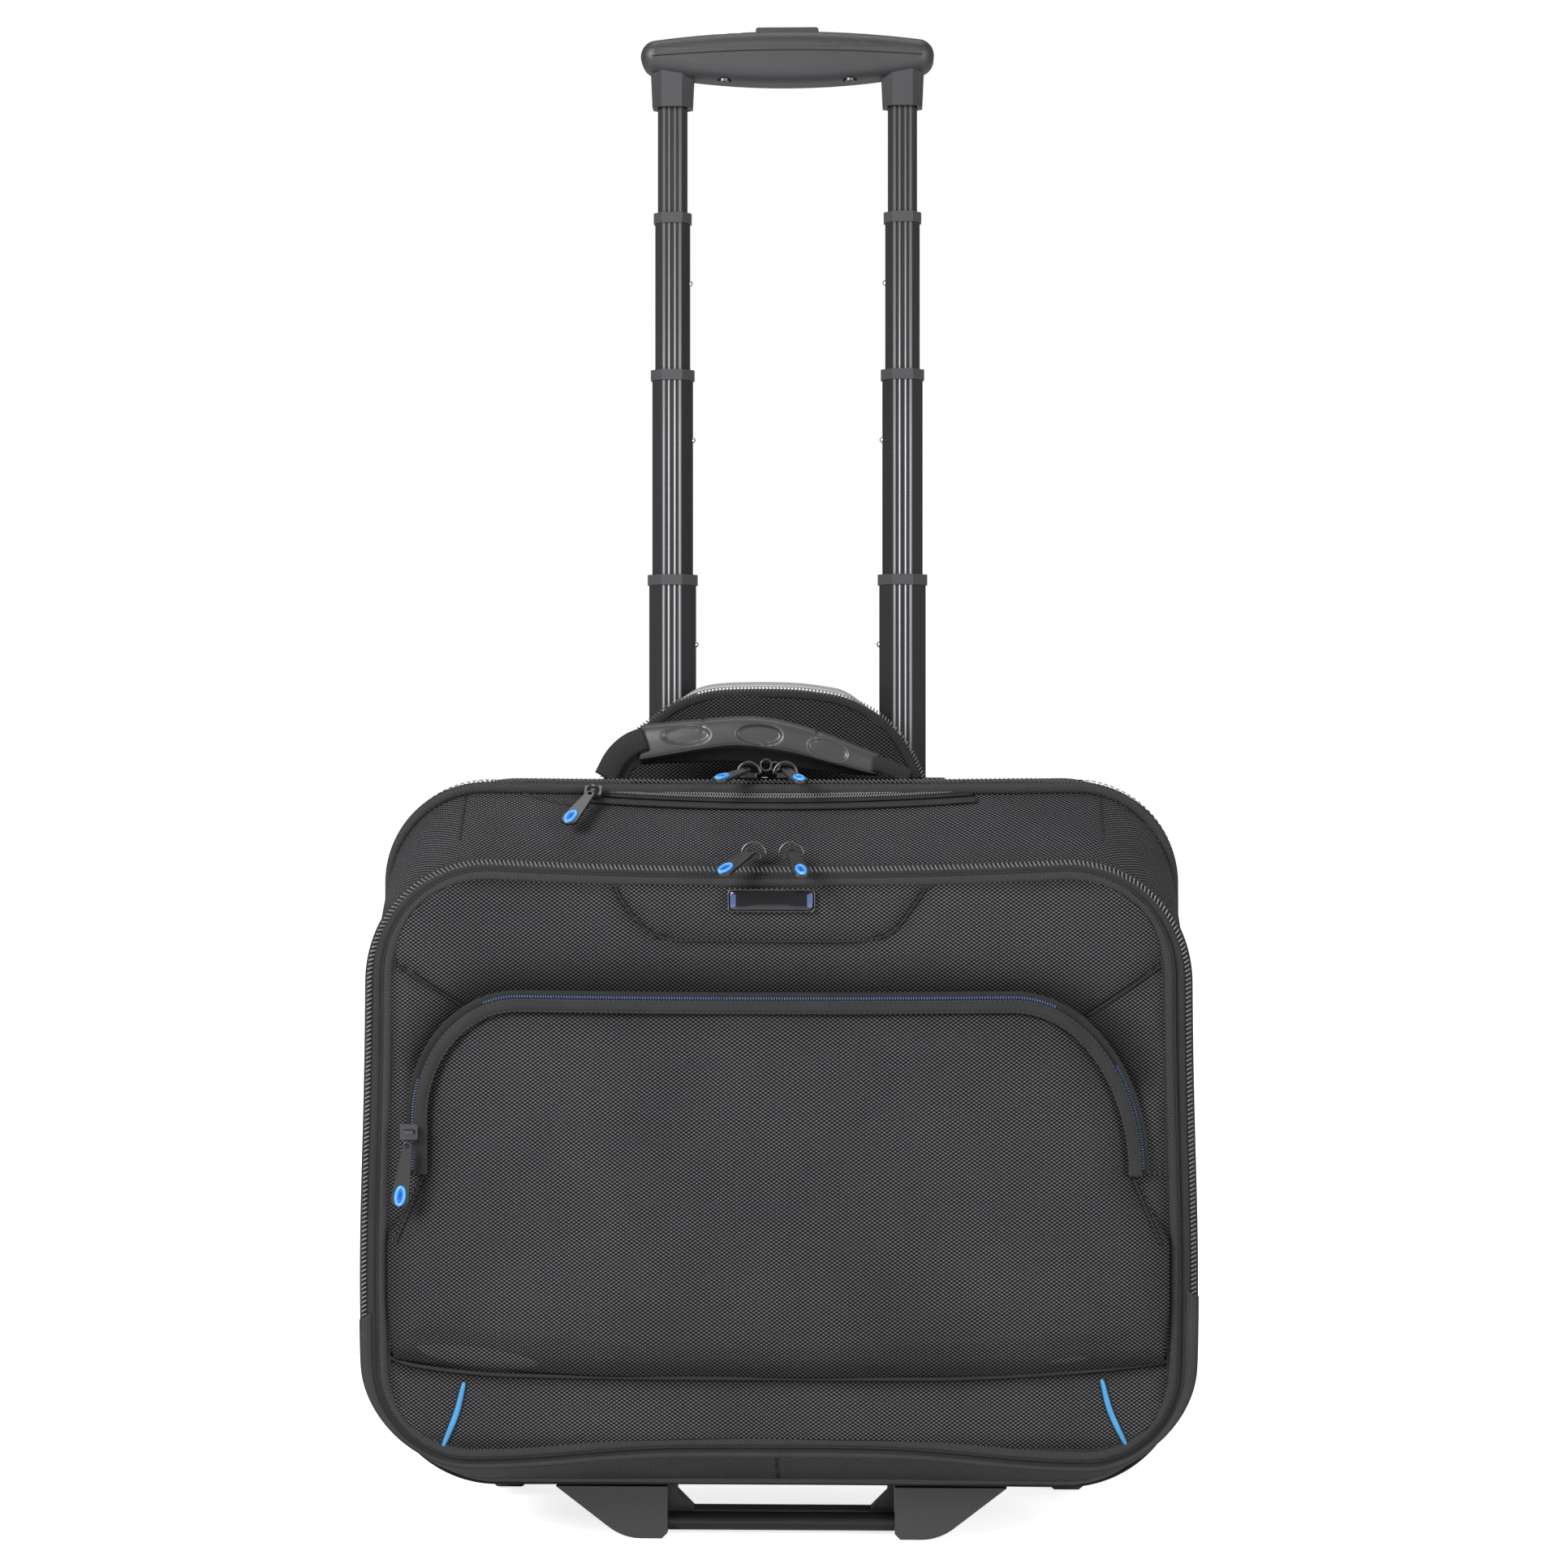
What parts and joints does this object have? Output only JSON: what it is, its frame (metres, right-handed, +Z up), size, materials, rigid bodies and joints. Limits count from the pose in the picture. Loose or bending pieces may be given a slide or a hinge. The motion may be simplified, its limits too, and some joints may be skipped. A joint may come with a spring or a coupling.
{
  "type": "rolling flight case",
  "caption": "Soft-sided upright rolling case with telescopic pull handle, carry grip, zipped compartments, foot stand and wheels.",
  "frame": {"origin": "centre of the bounding box on the floor, under the feet and wheels", "axes": "+X to the right seen from the front, +Y to the back where the wheels and handle are, +Z up"},
  "size_m": [0.428, 0.2605, 0.8386],
  "materials": {
    "ballistic_fabric": "coarse basket-weave nylon",
    "smooth_fabric": "smooth woven tape",
    "board": "stiff sheet",
    "coil_zip": "nylon coil",
    "pocket_coil": "muted blue nylon coil",
    "moulded_plastic": "fine moulded grain",
    "grip_plastic": "soft-touch moulded",
    "grip_rubber": "moulded rubber",
    "tube_metal": "black anodised aluminium",
    "collar_plastic": "satin",
    "steel": "bright steel",
    "bar_coat": "semi-gloss black",
    "tread": "polyurethane tread",
    "hub_plastic": "moulded",
    "slider_metal": "gunmetal lacquer",
    "puller_plastic": "moulded",
    "plate_gloss": "gloss black plate",
    "webbing": "woven nylon webbing"
  },
  "bodies": {
    "case": {"main_shell": "ballistic_fabric", "back_panel": "ballistic_fabric", "frame_board": "board", "base_board": "board", "main_zipper": "coil_zip", "stand_leg_left": "moulded_plastic", "stand_leg_right": "moulded_plastic", "stand_bar": "bar_coat", "stand_tray": "moulded_plastic", "wheel_housing_left": "moulded_plastic", "wheel_housing_right": "moulded_plastic", "wheel_axles": "steel", "outer_tubes": "tube_metal", "handle_bezel": "moulded_plastic", "handle_foot_bracket": "moulded_plastic"},
    "wheel_left": {"wheel_tyre_left": "tread", "wheel_hub_left": "hub_plastic"},
    "wheel_right": {"wheel_tyre_right": "tread", "wheel_hub_right": "hub_plastic"},
    "stage_4": {"tubes_stage_4": "tube_metal", "collars_stage_4": "collar_plastic", "lock_pins_stage_4": "steel"},
    "stage_3": {"tubes_stage_3": "tube_metal", "collars_stage_3": "collar_plastic", "lock_pins_stage_3": "steel"},
    "stage_2": {"tubes_stage_2": "tube_metal", "collars_stage_2": "collar_plastic", "lock_pins_stage_2": "steel"},
    "grip": {"tubes_stage_1": "tube_metal", "grip_upper_shell": "grip_plastic", "grip_lower_shell": "grip_plastic", "grip_screws": "steel", "button_spring": "steel"},
    "button": {"release_button": "grip_plastic", "release_rods": "steel"},
    "grab_handle": {"grab_grip": "grip_rubber", "grab_webbing": "webbing"},
    "hood": {"hood_shell": "ballistic_fabric"},
    "front_section": {"middle_shell": "ballistic_fabric", "front_zipper": "coil_zip", "front_lower_panel": "ballistic_fabric", "top_pocket_zip": "coil_zip", "zipper_end_caps": "moulded_plastic"},
    "front_flap": {"front_panel": "ballistic_fabric", "front_pocket": "ballistic_fabric", "front_piping": "smooth_fabric", "name_plate": "plate_gloss", "pocket_zip": "pocket_coil"},
    "main_left_slider": {"main_left_slider": "slider_metal"},
    "main_left_puller": {"main_left_puller": "puller_plastic"},
    "main_right_slider": {"main_right_slider": "slider_metal"},
    "main_right_puller": {"main_right_puller": "puller_plastic"},
    "front_left_slider": {"front_left_slider": "slider_metal"},
    "front_left_puller": {"front_left_puller": "puller_plastic"},
    "front_right_slider": {"front_right_slider": "slider_metal"},
    "front_right_puller": {"front_right_puller": "puller_plastic"},
    "top_pocket_slider": {"top_pocket_slider": "slider_metal"},
    "top_pocket_puller": {"top_pocket_puller": "puller_plastic"},
    "pocket_slider": {"pocket_slider": "slider_metal"},
    "pocket_puller": {"pocket_puller": "puller_plastic"}
  },
  "joints": [
    {"name": "wheel_left_roll", "type": "hinge", "parent": "case", "child": "wheel_left", "pos_m": [-0.16, 0.1024, 0.028], "axis": [1, 0, 0], "continuous": true},
    {"name": "wheel_right_roll", "type": "hinge", "parent": "case", "child": "wheel_right", "pos_m": [0.16, 0.1024, 0.028], "axis": [1, 0, 0], "continuous": true},
    {"name": "stage_4_slide", "type": "slide", "parent": "case", "child": "stage_4", "axis": [0, 0, 1], "range_m": [-0.11, 0]},
    {"name": "stage_3_slide", "type": "slide", "parent": "stage_4", "child": "stage_3", "axis": [0, 0, 1], "range_m": [-0.111, 0]},
    {"name": "stage_2_slide", "type": "slide", "parent": "stage_3", "child": "stage_2", "axis": [0, 0, 1], "range_m": [-0.0835, 0]},
    {"name": "grip_slide", "type": "slide", "parent": "stage_2", "child": "grip", "axis": [0, 0, 1], "range_m": [-0.059, 0]},
    {"name": "button_press", "type": "slide", "parent": "grip", "child": "button", "axis": [0, 0, -1], "range_m": [0, 0.004], "stiffness_N_per_m": 900, "springref_m": -0.002, "deforming": ["button_spring"]},
    {"name": "grab_handle_hinge", "type": "hinge", "parent": "case", "child": "grab_handle", "pos_m": [-0.011, 0.016, 0.4092], "axis": [1, 0, 0], "range_deg": [0, 70]},
    {"name": "hood_fold", "type": "hinge", "parent": "case", "child": "hood", "pos_m": [-0.011, 0.061, 0.409], "axis": [1, 0, 0], "range_deg": [0, 25]},
    {"name": "front_section_fold", "type": "hinge", "parent": "case", "child": "front_section", "pos_m": [0, -0.0401, 0.029], "axis": [1, 0, 0], "range_deg": [0, 40]},
    {"name": "front_flap_fold", "type": "hinge", "parent": "front_section", "child": "front_flap", "pos_m": [0, -0.1053, 0.125], "axis": [1, 0, 0], "range_deg": [0, 60]},
    {"name": "main_left_zip_slide", "type": "slide", "parent": "front_section", "child": "main_left_slider", "axis": [-1, 0, 0], "range_m": [0, 0.13]},
    {"name": "main_left_puller_swing", "type": "hinge", "parent": "main_left_slider", "child": "main_left_puller", "pos_m": [-0.017, -0.045, 0.4118], "axis": [-1, 0, 0], "range_deg": [0, 110]},
    {"name": "main_right_zip_slide", "type": "slide", "parent": "front_section", "child": "main_right_slider", "axis": [1, 0, 0], "range_m": [0, 0.13]},
    {"name": "main_right_puller_swing", "type": "hinge", "parent": "main_right_slider", "child": "main_right_puller", "pos_m": [0.0025, -0.045, 0.4118], "axis": [-1, 0, 0], "range_deg": [0, 110]},
    {"name": "front_left_zip_slide", "type": "slide", "parent": "front_flap", "child": "front_left_slider", "axis": [-1, 0, 0], "range_m": [0, 0.125]},
    {"name": "front_left_puller_swing", "type": "hinge", "parent": "front_left_slider", "child": "front_left_puller", "pos_m": [-0.0125, -0.1019, 0.3698], "axis": [-1, 0, 0], "range_deg": [0, 110]},
    {"name": "front_right_zip_slide", "type": "slide", "parent": "front_flap", "child": "front_right_slider", "axis": [1, 0, 0], "range_m": [0, 0.125]},
    {"name": "front_right_puller_swing", "type": "hinge", "parent": "front_right_slider", "child": "front_right_puller", "pos_m": [0.007, -0.1019, 0.3698], "axis": [-1, 0, 0], "range_deg": [0, 110]},
    {"name": "top_pocket_zip_slide", "type": "slide", "parent": "front_section", "child": "top_pocket_slider", "axis": [1, 0, 0], "range_m": [0, 0.185]},
    {"name": "top_pocket_puller_swing", "type": "hinge", "parent": "top_pocket_slider", "child": "top_pocket_puller", "pos_m": [-0.0994, -0.05964, 0.40005], "axis": [-1, 0, 0], "range_deg": [0, 110]},
    {"name": "pocket_zip_slide", "type": "slide", "parent": "front_flap", "child": "pocket_slider", "axis": [0, 0, 1], "range_m": [0, 0.01]},
    {"name": "pocket_puller_swing", "type": "hinge", "parent": "pocket_slider", "child": "pocket_puller", "pos_m": [-0.1893, -0.119, 0.2216], "axis": [-1, 0, 0], "range_deg": [0, 110]}
  ]
}
